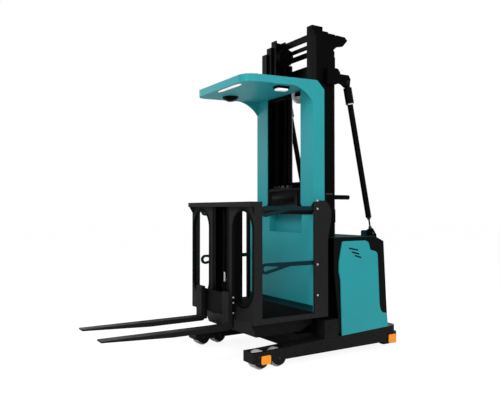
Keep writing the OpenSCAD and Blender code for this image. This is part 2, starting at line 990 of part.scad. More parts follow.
// Places children on the sloping roof: its front edge at X 0, its top at Z 0
module on_roof() {
    translate([guard_front_x, 0, guard_top - guard_fall])
        rotate([0, roof_angle, 0])
            children();
}

roof_corner_r = 110;
gusset_r = 318;
gusset_l = 258;

module guard_cheek() {
    difference() {
        polygon([
            [cheek_rear_x, guard_seat_z],
            [cheek_rear_x, guard_top - 76],
            [mast_front_x, roof_top(mast_front_x) - cheek_proud],
            [post_x + gusset_l, roof_top(post_x + gusset_l) - cheek_proud],
            [post_x + gusset_l, guard_seat_z - 150],
            [post_x, guard_seat_z - 150],
            [post_x, guard_seat_z]
        ]);
        translate([post_x + gusset_l, roof_under(post_x + gusset_l) + 4 - gusset_r])
            circle(gusset_r);
    }
}

module overhead_guard() {
    color([0.2, 0.57, 0.6]) {
        on_roof()
            floor_plate(-guard_t, guard_t) {
                round_rect([-roof_fall_l, cheek_proud - guard_half], [0, guard_half - cheek_proud],
                           roof_corner_r);
                translate([-roof_fall_l, cheek_proud - guard_half])
                    square([roof_fall_l / 2, 2 * (guard_half - cheek_proud)]);
            }
        both_sides()
            side_plate(guard_half - post_t, post_t)
                guard_cheek();
    }
}

guard_lamp_t = 36;

guard_lamp = [[-490, guard_half - 132], [-382, guard_half - 74]];

module guard_lamp() {
    color([0.9, 0.85, 0.85])
        on_roof()
            floor_plate(-guard_t - seat_gap - guard_lamp_t, guard_lamp_t)
                round_rect(guard_lamp[0], guard_lamp[1], 8);
}

fan_x = -282;
fan_y = guard_half - 184;
fan_d = 150;
fan_h = 40;
fan_rim_h = 14;
fan_steps = [[fan_d, fan_rim_h], [fan_d - 30, fan_h - 12], [fan_d - 80, fan_h]];

module fan_dome() {
    color([0.05, 0.05, 0.05])
        on_roof()
            for (f = fan_steps)
                upright(fan_x, -fan_y, -guard_t - seat_gap - f[1], -guard_t - seat_gap, f[0]);
}

aux_depth = 92;
aux_flange = 48;
aux_t = 11;

aux_case_t = 6;
aux_foot_z = floor_foot_z;
aux_bar_h = 60;

module aux_mast() {
    color([0.07, 0.07, 0.07]) {
        both_sides() {
            floor_plate(aux_foot_z, aux_top - aux_foot_z - 3)
                difference() {
                    translate([aux_rear_x, aux_half_w - aux_flange])
                        square([aux_depth, aux_flange]);
                    translate([aux_rear_x + aux_t, aux_half_w - aux_flange - 1])
                        square([aux_depth - 2 * aux_t, aux_flange - aux_t + 1]);
                }
            block([aux_case_x, aux_half_w - aux_case_t, aux_foot_z],
                  [aux_rear_x + 1, aux_half_w, aux_top - 1]);
        }
        block([aux_case_x, -aux_half_w, aux_foot_z], [aux_case_x + aux_case_t, aux_half_w, aux_top - 1]);
        for (z = [aux_foot_z, aux_top - 3 - aux_bar_h])
            block([aux_rear_x, aux_flange - aux_half_w, z],
                  [aux_rear_x + aux_t, aux_half_w - aux_flange, z + aux_bar_h]);
        block([aux_case_x, -aux_slot_half, aux_top - 3],
              [cab_front_x - wall_t, aux_slot_half, aux_top + 1]);
    }
}

// Forks

fork_roller_r = aux_depth / 2 - aux_t - running;
fork_roller_x = aux_rear_x + aux_depth / 2;
fork_plate_x = cab_front_x + 34;
plate_half = 290;
plate_z = [390, 580];
plate_foot_y = 190;
plate_foot_z = 305;
heel_r = 34;
fork_roller_z = [plate_z[0] + 40, plate_z[1] - 40];
fork_roller_w = 30;
fork_stub_d = 24;
fork_guide_y = [aux_half_w - aux_flange - 24, aux_half_w - aux_flange - 6];

module fork_carriage() {
    color([0.1, 0.1, 0.1]) {
        block([fork_plate_x, -plate_half, plate_z[0]], [shank_x - fork_t, plate_half, plate_z[1]]);
        both_sides() {
            block([fork_plate_x, plate_foot_y, plate_foot_z],
                  [shank_x - fork_t, plate_half, plate_z[0] + 1]);
            for (z = fork_roller_z) {
                cross_bar(fork_roller_x, aux_half_w - aux_t - 20, z, 2 * fork_roller_r, fork_roller_w);
                cross_bar(fork_roller_x, aux_half_w - aux_flange - 1, z, fork_stub_d, 26);
            }
            block([fork_roller_x - 20, fork_guide_y[0], plate_z[0] + 10],
                  [fork_plate_x, fork_guide_y[1], plate_z[1] - 10]);
        }
    }
}

fork_tip_t = 12;
fork_taper_x = 500;

module fork_outline() {
    heel = [shank_x - fork_t, fork_z - fork_t];
    difference() {
        polygon([
            heel,
            [heel[0], shank_z],
            [shank_x, shank_z],
            [shank_x, fork_z],
            [shank_x + fork_l, fork_z],
            [shank_x + fork_l, fork_z - fork_tip_t],
            [shank_x + fork_taper_x, heel[1]]
        ]);
        difference() {
            translate(heel - [1, 1])
                square(heel_r + 1);
            translate(heel + [heel_r, heel_r])
                circle(heel_r);
        }
    }
}

module fork(side) {
    color([0.22, 0.22, 0.22])
        side_plate(side * fork_y - fork_w / 2, fork_w)
            fork_outline();
}

module fork_left() {
    fork(1);
}

module fork_right() {
    fork(-1);
}

// Gate bars

gate_hinge_x = door_rear_x - 23;
gate_boss_r = 15;

gate_l = door_front_x - gate_hinge_x - gate_gap;
gate_loop_t = 23;
gate_taper_l = 290;

// A bar's outline from its hinge to the loop at its front end, its hinge at the origin
module gate_outline() {
    loop_r = gate_loop_h / 2;
    eye_r = loop_r - gate_loop_t;
    loop = [gate_l - loop_r, gate_h / 2 - loop_r];
    difference() {
        union() {
            circle(r = gate_boss_r);
            translate([0, -gate_h / 2])
                square([gate_l - gate_taper_l, gate_h]);
            polygon([
                [gate_l - gate_taper_l - 1, -gate_h / 2],
                [loop[0] - 10, loop[1] - loop_r],
                [loop[0], loop[1] - loop_r],
                [loop[0], gate_h / 2],
                [gate_l - gate_taper_l - 1, gate_h / 2]
            ]);
            translate(loop)
                circle(r = loop_r);
        }
        polygon([
            [gate_l - gate_taper_l + 95, gate_h / 2 - gate_loop_t - 12],
            [loop[0] - 6, loop[1] - eye_r],
            [loop[0], loop[1] - eye_r],
            [loop[0], loop[1] + eye_r]
        ]);
        translate(loop)
            circle(r = eye_r);
    }
}

module gate_bar(z) {
    color([0.12, 0.35, 0.37])
        translate([gate_hinge_x, 0, z])
            side_plate(gate_y - gate_d / 2, gate_d)
                gate_outline();
    color([0.12, 0.35, 0.37])
        cross_bar(gate_hinge_x, gate_y + gate_pin_l / 2, z, gate_pin_d, gate_pin_l);
}

// A gate's pin reaches from the middle of the bar to the side frame
gate_pin_d = 20;
gate_pin_l = cab_half - wall_t - seat_gap - gate_y;

module gate_low_left() {
    gate_bar(gate_low_z);
}

module gate_high_left() {
    gate_bar(gate_high_z);
}

module gate_low_right() {
    mirror([0, 1, 0])
        gate_bar(gate_low_z);
}

module gate_high_right() {
    mirror([0, 1, 0])
        gate_bar(gate_high_z);
}

straddle_legs();
mast_bed();
load_axles();
load_wheel_1();
load_wheel_2();
load_wheel_3();
load_wheel_4();
marker_lamps();
foot_blocks();
power_shelf();
battery();
rear_cover();
side_panels();
drive_yoke();
drive_motor();
drive_wheel();
outer_mast();
lift_barrels();
mast_stays();
mast_fittings();
middle_mast();
middle_bars();
lift_rods();
inner_mast();
inner_bars();
mast_carriage();
cab_underframe();
cab_floor();
front_wall();
side_frame_left();
side_frame_right();
back_wall();
console();
guard_posts();
overhead_guard();
guard_lamp();
fan_dome();
aux_mast();
fork_carriage();
fork_left();
fork_right();
gate_low_left();
gate_high_left();
gate_low_right();
gate_high_right();
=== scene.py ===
# %% [markdown]
# This lesson dresses a imported CAD model of an order picker truck.
# The CAD model already holds every solid at its real place, so nothing here is scaled or fitted.
# The first cell loads it as a fixed frame.

# %% Load the truck
import math

import bmesh
import bpy
from mathutils import Matrix, Vector


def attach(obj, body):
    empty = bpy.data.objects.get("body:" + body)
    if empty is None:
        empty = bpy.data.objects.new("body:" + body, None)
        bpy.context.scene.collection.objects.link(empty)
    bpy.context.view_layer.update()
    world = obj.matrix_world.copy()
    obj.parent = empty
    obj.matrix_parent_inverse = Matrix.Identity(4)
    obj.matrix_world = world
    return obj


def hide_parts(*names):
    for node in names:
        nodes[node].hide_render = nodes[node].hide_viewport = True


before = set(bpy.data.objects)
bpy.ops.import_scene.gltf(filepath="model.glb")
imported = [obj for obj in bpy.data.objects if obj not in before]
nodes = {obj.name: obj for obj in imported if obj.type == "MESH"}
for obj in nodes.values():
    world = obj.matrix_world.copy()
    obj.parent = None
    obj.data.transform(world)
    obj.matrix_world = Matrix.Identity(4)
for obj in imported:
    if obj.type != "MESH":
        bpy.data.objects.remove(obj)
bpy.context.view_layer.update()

# %% [markdown]
# The photographer stood in front of the truck and to its left, with the lens a little above the cab's side
# openings. The place and the direction were measured from the vanishing points of the mast, the legs and
# the forks, so the camera is set from numbers and not moved by hand.

# %% The photographer's place
EYE = Vector((2.68, 4.375, 1.30))
AZIMUTH = math.radians(147.63)
PITCH = math.radians(0.958)
LENS_MM, SENSOR_MM = 40.54, 36
TOWARDS = Vector((
    -math.sin(AZIMUTH) * math.cos(PITCH),
    math.cos(AZIMUTH) * math.cos(PITCH),
    math.sin(PITCH),
))
bpy.ops.object.camera_add(location=EYE, rotation=TOWARDS.to_track_quat("-Z", "Y").to_euler())
camera = bpy.context.object
camera.data.lens = LENS_MM
camera.data.sensor_width = SENSOR_MM
bpy.context.scene.camera = camera
print("camera", [round(v, 3) for v in EYE], "lens", camera.data.lens)

# %% [markdown]
# Shader maths reads better as Python sums than as a list of links. This small class wraps one socket. A sum
# of two wrapped sockets adds a Math node behind the scenes, and every other node comes from one method that
# takes the node's type, its settings and what goes into its sockets.

# %% Wires for the shader sums
def fill(node, values):
    """Fills a node's sockets: a wire is linked, and what is the same all over is set on the socket itself."""
    for name, value in values.items():
        if isinstance(value, Wire):
            node.id_data.links.new(value.socket, node.inputs[name])
        else:
            node.inputs[name].default_value = value


class Wire:
    def __init__(self, socket):
        self.socket = socket

    def add(self, kind, settings, values, out=0):
        """Adds a node of any type and wraps one of its outputs."""
        node = self.socket.id_data.nodes.new(kind)
        for name, setting in settings.items():
            setattr(node, name, setting)
        fill(node, values)
        return Wire(node.outputs[out])

    def sum(self, operation, first, second):
        return self.add("ShaderNodeMath", {"operation": operation}, {0: first, 1: second})

    def __add__(self, other):
        return self.sum("ADD", self, other)

    __radd__ = __add__

    def __mul__(self, other):
        return self.sum("MULTIPLY", self, other)

    __rmul__ = __mul__

    def __sub__(self, other):
        return self.sum("SUBTRACT", self, other)

    def __rsub__(self, other):
        return self.sum("SUBTRACT", other, self)

    def rise(self, low, high):
        """0 up to the low value, 1 from the high one on, and a smooth rise between them."""
        return self.add("ShaderNodeMapRange", {"interpolation_type": "SMOOTHSTEP"}, {
            "Value": self, "From Min": low, "From Max": high})

    def clamp(self):
        return self.add("ShaderNodeClamp", {}, {"Value": self})

    def axis(self, name):
        return self.add("ShaderNodeSeparateXYZ", {}, {"Vector": self}, name)

    def squeezed(self, scale):
        return self.add("ShaderNodeMapping", {}, {"Vector": self, "Scale": scale})

    def noise(self, scale, detail=2.0, rough=0.5):
        return self.add("ShaderNodeTexNoise", {}, {
            "Vector": self, "Scale": scale, "Detail": detail, "Roughness": rough})

    def blend(self, first, second):
        """The first colour where the wire is 0, the second where it is 1."""
        return self.add("ShaderNodeMix", {"data_type": "RGBA"}, {0: self, 6: first, 7: second}, 2)


print("wires are ready")

# %% [markdown]
# Colours are easiest to judge on a screen, but the renderer works with linear ones, so they are written as
# screen values and turned. Every material then starts with its shader and with the place on the truck in
# metres. No real edge is quite sharp: a Bevel node rounds the normal there, and how far the normal turned
# also says where edges wear and where the coats and plastics get a painted highlight.

# %% Colours, materials and edges
EDGE_SAMPLES = 6


def linear(screen):
    """A screen value from 0 to 255 as the linear value from 0 to 1, by the sRGB rule."""
    part = screen / 255
    return ((part + 0.055) / 1.055) ** 2.4 if part > 0.04045 else part / 12.92


def rgb(red, green, blue):
    return linear(red), linear(green), linear(blue), 1.0


def shade_of(colour, factor, lift=0.0):
    """A darker or lighter shade of a colour, never past white."""
    return tuple(min(1.0, part * factor + lift) for part in colour[:3]) + (1.0,)


def begin(name):
    """A new material, its shader and the wire that gives the place on the truck in metres."""
    finish = bpy.data.materials.new(name)
    finish.use_nodes = True
    shader = finish.node_tree.nodes["Principled BSDF"]
    place = Wire(finish.node_tree.nodes.new("ShaderNodeTexCoord").outputs["Object"])
    return finish, shader, place


def rounded(place, radius):
    """The normal that a sharp edge would have if it were rounded off."""
    return place.add("ShaderNodeBevel", {"samples": EDGE_SAMPLES}, {"Radius": radius})


def turned_from_true(soft):
    """How far a rounded normal turned: 0 on a flat face, more towards its edges."""
    true = soft.add("ShaderNodeNewGeometry", {}, {}, "True Normal")
    same = soft.add("ShaderNodeVectorMath", {"operation": "DOT_PRODUCT"}, {0: soft, 1: true}, "Value")
    return 1 - same


def bump(shader, height, strength, depth, under=None):
    """Grain as a Bump node: its height, how strongly it shows, its depth in metres, the normal under it."""
    values = {"Strength": strength, "Distance": depth, "Height": height}
    if under:
        values["Normal"] = under
    fill(shader, {"Normal": height.add("ShaderNodeBump", {}, values)})


print("material helpers are ready")

# %% [markdown]
# Nearly everything on this truck is powder coated steel. Powder coat is sprayed as dust and baked, so it
# has a fine orange peel, it is a little thinner on edges, and it collects grey dust low down. Its edges are
# painted lighter in patches, partly as wear and partly as a painted highlight.
# One recipe makes all the coats, each with its own colour, gloss and peel.

# %% Powder coats
COAT_EDGE, PEEL_DEPTH = 0.0025, 0.0004
DUST, DUST_LOW, DUST_HIGH, DUST_MOST = rgb(120, 118, 112), 0.05, 0.75, 0.07


def powder_coat(name, colour, edge_wear_and_highlight, rough, peel, peel_size=420.0, shine=0.06):
    finish, shader, place = begin(name)
    soft = rounded(place, COAT_EDGE)
    cloud = place.noise(2.6, 3.0)
    fleck = place.noise(90.0, 4.0, 0.65)
    grain = place.noise(peel_size)
    low_down = 1 - place.axis("Z").rise(DUST_LOW, DUST_HIGH)
    dust = low_down * fleck.rise(0.35, 0.8) * DUST_MOST
    # Edges go lighter in patches: partly scuffed paint, partly a painted highlight where edges catch the
    # light.
    scuffed_and_highlit = turned_from_true(soft).rise(0.02, 0.25) * fleck.rise(0.35, 0.6)
    tone = ((cloud - 0.5) * 0.5 + 0.5).blend(shade_of(colour, 0.86), shade_of(colour, 1.1))
    tone = (scuffed_and_highlit * 0.4).blend(tone, edge_wear_and_highlight)
    bump(shader, grain, peel, PEEL_DEPTH, soft)
    fill(shader, {
        "Base Color": dust.blend(tone, DUST),
        "Roughness": (cloud - 0.5) * 0.12 + (grain - 0.5) * 0.10 + dust * 0.3 + rough,
        "Specular IOR Level": shine,
    })
    return finish


teal_coat = powder_coat(
    "teal_coat", rgb(38, 143, 150), edge_wear_and_highlight=rgb(96, 176, 180), rough=0.38, peel=0.25, shine=0.12)
deep_teal = powder_coat(
    "deep_teal_coat", rgb(8, 52, 56), edge_wear_and_highlight=rgb(40, 94, 98), rough=0.5, peel=0.3, shine=0.02)
panel_grey = powder_coat(
    "panel_grey_coat", rgb(28, 28, 29), edge_wear_and_highlight=rgb(66, 66, 68), rough=0.5, peel=0.6, peel_size=700.0)
frame_black = powder_coat(
    "frame_black_coat", rgb(15, 15, 16), edge_wear_and_highlight=rgb(48, 48, 50), rough=0.42, peel=0.35)
mast_paint = powder_coat(
    "mast_paint", rgb(4, 4, 5), edge_wear_and_highlight=rgb(30, 30, 33), rough=0.38, peel=0.2, shine=0.03)
gate_paint = powder_coat(
    "gate_coat", rgb(9, 38, 43), edge_wear_and_highlight=rgb(36, 78, 84), rough=0.36, peel=0.2)
iron_paint = powder_coat(
    "iron_paint", rgb(44, 45, 48), edge_wear_and_highlight=rgb(96, 96, 98), rough=0.55, peel=0.9, peel_size=160.0, shine=0.2)
print("powder coats:", teal_coat.name, panel_grey.name, frame_black.name, mast_paint.name)

# %% [markdown]
# The forks are painted too, but loads scrape the paint off the top of the blades and off their tips. The
# scrape is drawn along the blade: a noise stretched in X, kept to the upper faces and stronger at the tips.

# %% Scraped fork paint
FORK_EDGE, SCRAPE_DEPTH = 0.003, 0.0004
FORK_BLACK, WORN_STEEL = rgb(20, 20, 22), rgb(82, 81, 80)
BLADE_HEEL, BLADE_TIP = 0.35, 1.45


def fork_paint(name):
    finish, shader, place = begin(name)
    soft = rounded(place, FORK_EDGE)
    streaks = place.squeezed((6.0, 90.0, 90.0)).noise(1.0, 4.0, 0.6)
    up = place.add("ShaderNodeNewGeometry", {}, {}, "Normal").axis("Z").rise(0.6, 0.95)
    reach = place.axis("X").rise(BLADE_HEEL, BLADE_TIP)
    on_edges = turned_from_true(soft).rise(0.05, 0.3) * 0.6
    bare = ((streaks + reach * 0.16).rise(0.60, 0.74) * up + on_edges).clamp()
    bump(shader, streaks - bare * 0.6, 0.25, SCRAPE_DEPTH, soft)
    fill(shader, {
        "Base Color": bare.blend(FORK_BLACK, WORN_STEEL),
        "Roughness": streaks * 0.16 + (0.44 - bare * 0.12),
        "Metallic": bare * 0.8,
        "Specular IOR Level": 0.08,
    })
    return finish


fork_coat = fork_paint("scraped_fork_paint")
print("fork paint:", fork_coat.name)

# %% [markdown]
# Moulded plastic, rubber and cast polyurethane have no metal in them and hardly any gloss. What tells them
# apart is the grain: leather-like cells on a moulded hood, a fine matt skin on rubber, and faint clouds of
# dirt on a light grey wheel.

# %% Plastics, rubber and polyurethane
MOULD_EDGE, CELL_DEPTH = 0.003, 0.0005


def moulded(name, colour, rough, grain_size, grain, mottle=0.16, shine=0.05):
    finish, shader, place = begin(name)
    soft = rounded(place, MOULD_EDGE)
    cells = place.add("ShaderNodeTexVoronoi", {"feature": "SMOOTH_F1"}, {
        "Vector": place, "Scale": grain_size, "Smoothness": 0.6})
    cloud = place.noise(7.0, 4.0, 0.6)
    tone = cloud.rise(0.3, 0.7).blend(shade_of(colour, 1 - mottle), shade_of(colour, 1 + mottle))
    # Every edge goes lighter: a painted highlight where edges catch the light, with some rubbed wear.
    rubbed_and_highlit = shade_of(colour, 1.6, lift=0.02)
    bump(shader, cells, grain, CELL_DEPTH, soft)
    fill(shader, {
        "Base Color": (turned_from_true(soft).rise(0.03, 0.3) * 0.35).blend(tone, rubbed_and_highlit),
        "Roughness": (cloud - 0.5) * 0.2 + rough,
        "Specular IOR Level": shine,
    })
    return finish


hood_plastic = moulded("hood_plastic", rgb(8, 9, 10), rough=0.42, grain_size=420.0, grain=0.35)
console_plastic = moulded("console_plastic", rgb(5, 6, 6), rough=0.48, grain_size=500.0, grain=0.3)
floor_rubber = moulded("floor_rubber", rgb(6, 7, 7), rough=0.75, grain_size=260.0, grain=0.6)
seal_rubber_and_vent_shade = moulded("seal_rubber_and_vent_shade", rgb(4, 4, 4), rough=0.6, grain_size=900.0, grain=0.15)
wheel_grey = moulded(
    "wheel_polyurethane", rgb(178, 178, 180), rough=0.42, grain_size=300.0, grain=0.12,
    mottle=0.08, shine=0.4)
pulley_nylon = moulded(
    "pulley_nylon", rgb(186, 188, 190), rough=0.4, grain_size=500.0, grain=0.1, mottle=0.06, shine=0.4)
drive_tread = moulded("drive_tread_rubber", rgb(22, 22, 22), rough=0.72, grain_size=240.0, grain=0.5)
battery_case = moulded("battery_case_plastic", rgb(56, 58, 62), rough=0.5, grain_size=350.0, grain=0.3)
print("moulded finishes:", hood_plastic.name, wheel_grey.name)

# %% [markdown]
# Ground steel shows on the rods of the lift cylinders, and bright zinc on the screws and the stay rings.
# Grinding leaves fine lines round a rod, so a noise that is squeezed along Z gives the rings.

# %% Bare steel
RING_DEPTH = 0.0003


def ground_steel(name, colour, rough):
    finish, shader, place = begin(name)
    rings = place.squeezed((20.0, 20.0, 900.0)).noise(1.0, 3.0)
    bump(shader, rings, 0.15, RING_DEPTH)
    fill(shader, {
        "Base Color": place.noise(14.0, 3.0).blend(shade_of(colour, 0.8), colour),
        "Roughness": rings * 0.2 + (rough - 0.1),
        "Metallic": 1.0,
    })
    return finish


steel = ground_steel("ground_steel", rgb(196, 197, 199), rough=0.3)
bright_zinc = ground_steel("bright_zinc", rgb(214, 215, 216), rough=0.38)
print("steel:", steel.name, bright_zinc.name)

# %% [markdown]
# A lamp's lens is clear plastic with ribs moulded into its back. The ribs bend the light of the bulb chamber
# behind, and that is why a lens looks striped. It also gets a little emission, a painted glow that makes it
# look lit although the lamp is off.

# %% Lamp lenses
LENS_EDGE, RIB_DEPTH = 0.004, 0.001


def lens(name, colour, deep, rib_size, painted_glow):
    finish, shader, place = begin(name)
    ribs = place.add("ShaderNodeTexWave", {"bands_direction": "X"}, {
        "Vector": place, "Scale": rib_size, "Distortion": 0.0})
    tone = (ribs * 0.6 + place.noise(30.0) * 0.3).blend(deep, colour)
    bump(shader, ribs, 0.3, RIB_DEPTH, rounded(place, LENS_EDGE))
    # The emission is a painted glow in the lens's own colour, though the lamp is off.
    fill(shader, {
        "Base Color": tone,
        "Emission Color": tone,
        "Emission Strength": painted_glow,
        "Roughness": 0.14,
        "Specular IOR Level": 0.3,
    })
    return finish


orange_lens = lens("orange_lens", rgb(244, 156, 30), deep=rgb(228, 124, 12), rib_size=60.0, painted_glow=0.08)
white_lens = lens("white_lens", rgb(250, 244, 244), deep=rgb(232, 224, 226), rib_size=40.0, painted_glow=0.45)
print("lenses:", orange_lens.name, white_lens.name)

# %% [markdown]
# A CAD node that is already the right shape only needs its finish. The nodes are listed by finish, and each
# node's material slots are filled with it.

# %% Finishes on the CAD nodes
FINISHES = [
    (teal_coat, ["side_panels", "back_wall", "guard_posts", "overhead_guard"]),
    (panel_grey, ["front_wall", "side_frame_left", "side_frame_right"]),
    (frame_black, ["straddle_legs", "mast_bed", "power_shelf", "mast_carriage", "cab_underframe",
                   "foot_blocks"]),
    (mast_paint, ["outer_mast", "middle_mast", "middle_bars", "inner_mast", "inner_bars", "lift_barrels",
                  "mast_stays", "mast_fittings", "fork_carriage", "aux_mast"]),
    (gate_paint, ["gate_low_left", "gate_low_right", "gate_high_left", "gate_high_right"]),
    (iron_paint, ["drive_yoke", "drive_motor", "load_axles"]),
    (hood_plastic, ["rear_cover"]),
    (console_plastic, ["console", "fan_dome"]),
    (floor_rubber, ["cab_floor"]),
    (wheel_grey, ["load_wheel_1", "load_wheel_2", "load_wheel_3", "load_wheel_4"]),
    (drive_tread, ["drive_wheel"]),
    (battery_case, ["battery"]),
    (steel, ["lift_rods"]),
    (fork_coat, ["fork_left", "fork_right"]),
    (orange_lens, ["marker_lamps"]),
    (white_lens, ["guard_lamp"]),
]
for finish, names in FINISHES:
    for name in names:
        for filled in nodes[name].material_slots:
            filled.material = finish
print("dressed nodes:", sum(len(names) for finish, names in FINISHES))

# %% [markdown]
# Small parts carry the eye: seals, screws, vents, hubs and pulleys tell the size of a truck. Each of them is
# started from a primitive that is added at its size and place. An operator acts on all that is selected, so
# everything is let go of first. The place then goes into the mesh, and the object itself stays at the origin.

# %% Starting a piece
FORWARD, LEFT, UP = Vector((1, 0, 0)), Vector((0, 1, 0)), Vector((0, 0, 1))


def nothing_picked():
    if bpy.context.object and bpy.context.object.mode == "EDIT":
        bpy.ops.object.mode_set(mode="OBJECT")
    bpy.ops.object.select_all(action="DESELECT")


def placed(name):
    """Names the new primitive and puts its place, turn and size into its mesh."""
    piece = bpy.context.object
    piece.name = name
    bpy.ops.object.transform_apply(location=True, rotation=True, scale=True)
    return piece


def block(name, low, high):
    nothing_picked()
    low, high = Vector(low), Vector(high)
    bpy.ops.mesh.primitive_cube_add(size=1, location=(low + high) / 2, scale=high - low)
    return placed(name)


def disc(name, middle, along, radius, depth, sides):
    nothing_picked()
    bpy.ops.mesh.primitive_cylinder_add(
        vertices=sides, radius=radius, depth=depth, location=middle,
        rotation=along.to_track_quat("Z", "Y").to_euler())
    return placed(name)


print("a piece starts as a block or a disc")

# %% [markdown]
# A piece gets its shape in edit mode. Its faces are picked by the way they look or by where they lie. An
# inset draws smaller faces inside them, and a push moves these out or in. A few such steps turn a plain
# block or disc into a panel, a cap or a wheel, and the tests below pick its front, its two ends or its rim.

# %% Picking faces and shaping them
SAME_WAY, SQUARE_TO = 0.9, 0.1


def facing(direction):
    return lambda middle, normal: normal.dot(direction) > SAME_WAY


def ends_of(axis):
    return lambda middle, normal: abs(normal.dot(axis)) > SAME_WAY


def rim_of(axis):
    return lambda middle, normal: abs(normal.dot(axis)) < SQUARE_TO


def pick(piece, test):
    """Opens a piece in edit mode with only the faces selected whose middle and normal pass the test."""
    if piece.mode != "EDIT":
        nothing_picked()
        bpy.context.view_layer.objects.active = piece
        piece.select_set(True)
        bpy.ops.object.mode_set(mode="EDIT")
    bpy.ops.mesh.select_mode(type="FACE")
    bpy.ops.mesh.select_all(action="DESELECT")
    opened = bmesh.from_edit_mesh(piece.data)
    for face in opened.faces:
        face.select_set(bool(test(face.calc_center_median(), face.normal)))
    bmesh.update_edit_mesh(piece.data)


def inset(width):
    bpy.ops.mesh.inset(thickness=width)


def push(depth):
    """Extrudes what is selected along its own normals: outwards, or inwards with a depth below zero."""
    bpy.ops.mesh.extrude_region_shrink_fatten(TRANSFORM_OT_shrink_fatten={"value": depth})


def stepped(piece, test, *steps):
    """Gives the picked faces one step after the other. A step is the width of an inset and a push's depth."""
    pick(piece, test)
    for width, depth in steps:
        inset(width)
        push(depth)


print("faces are picked, inset and pushed")

# %% [markdown]
# An edge without any bevel catches no light and looks like paper, so each piece is closed with a small one,
# and its round sides are smoothed. What repeats is modelled once and copied. What belongs together is joined
# into one piece, and a piece on the left gets its mirror image on the right.

# %% Closing, copying and joining
BEVELLED_FROM, SMOOTH_UP_TO = math.radians(40), math.radians(35)
MIRROR = Matrix.Scale(-1, 4, LEFT)


def closed(piece, edge, steps=2):
    """Back to object mode, with its edges bevelled and its round sides smooth."""
    nothing_picked()
    bpy.context.view_layer.objects.active = piece
    piece.select_set(True)
    bevel = piece.modifiers.new("edges", "BEVEL")
    bevel.width = edge
    bevel.segments = steps
    bevel.limit_method = "ANGLE"
    bevel.angle_limit = BEVELLED_FROM
    bpy.ops.object.modifier_apply(modifier=bevel.name)
    bpy.ops.object.shade_smooth_by_angle(angle=SMOOTH_UP_TO)
    return piece


def bored(piece, along, wall, edge):
    """A closed piece with a hole from end to end: both ends are inset, and the two inner faces bridged."""
    pick(piece, ends_of(along))
    inset(wall)
    bpy.ops.mesh.bridge_edge_loops()
    return closed(piece, edge)


def copied(piece, name, move):
    """A copy with its own mesh, moved by a vector or a matrix. A mirrored copy gets its faces turned back."""
    twin = piece.copy()
    twin.data = piece.data.copy()
    twin.name = name
    bpy.context.collection.objects.link(twin)
    if not isinstance(move, Matrix):
        move = Matrix.Translation(move)
    twin.data.transform(move)
    if move.determinant() < 0:
        twin.data.flip_normals()
    return twin


def joined(name, pieces):
    nothing_picked()
    for piece in pieces:
        piece.select_set(True)
    bpy.context.view_layer.objects.active = pieces[0]
    bpy.ops.object.join()
    pieces[0].name = name
    return pieces[0]


def on_both_sides(piece):
    return joined(piece.name, [piece, copied(piece, piece.name + "_right", MIRROR)])


print("pieces are closed, copied and joined")

# %% [markdown]
# A finished piece is handed in with its finish and the body of the truck that it rides on. So the cab's
# screws rise with the cab.

# %% Handing in a piece
made = []


def hand_in(piece, finish, body):
    if not piece.data.materials:
        piece.data.materials.append(finish)
    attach(piece, body)
    made.append(piece.name)
    print(piece.name, "faces:", len(piece.data.polygons), "rides on", body)


print("pieces are ready to be handed in")

# %% [markdown]
# A screw head is a short drum with a socket. One is modelled, by an inset and a push into its top, and the
# others are copies of its mesh. All the screws of one body are joined into one piece.

# %% Screws
POST_X, POST_FACE, POST_HEIGHTS = -0.43, 0.56, (1.376, 1.306, 0.823, 0.558)
FORK_PLATE_X, FORK_PLATE_SIDE, FORK_PLATE_HEIGHTS = 0.259, 0.29, (0.56, 0.515, 0.43)


def screws(name, x, y, heights, radius, rise):
    """Screws in a column, with their heads on a face that looks left."""
    head = disc(name, (x, y + rise / 2, heights[0]), LEFT, radius, rise, 20)
    stepped(head, facing(LEFT), (radius * 0.45, -rise * 0.5))
    closed(head, radius * 0.16)
    return joined(name, [head] + [copied(head, name + "_copy", UP * (z - heights[0])) for z in heights[1:]])


post_screws = screws("post_screws", POST_X, POST_FACE, POST_HEIGHTS, 0.009, 0.005)
hand_in(on_both_sides(post_screws), bright_zinc, "cab")
carriage_screws = screws(
    "carriage_screws", FORK_PLATE_X, FORK_PLATE_SIDE, FORK_PLATE_HEIGHTS, 0.008, 0.005)
hand_in(on_both_sides(carriage_screws), bright_zinc, "fork_lift")

# %% [markdown]
# The front windows are holes in a steel wall, so their edges wear a rubber seal. Its path is a stadium: a
# disc whose upper half is moved up. An inset leaves the ring, and the Solidify modifier gives it its depth.

# %% Window seals
WINDOW_Y, WINDOW_LOW, WINDOW_RISE, WINDOW_RADIUS = 0.371, 0.651, 0.48, 0.159
SEAL_FACE, SEAL_LIP, SEAL_INSIDE, SEAL_DEPTH = 0.2205, 0.017, 0.005, 0.028
ROUNDING = 0.0001


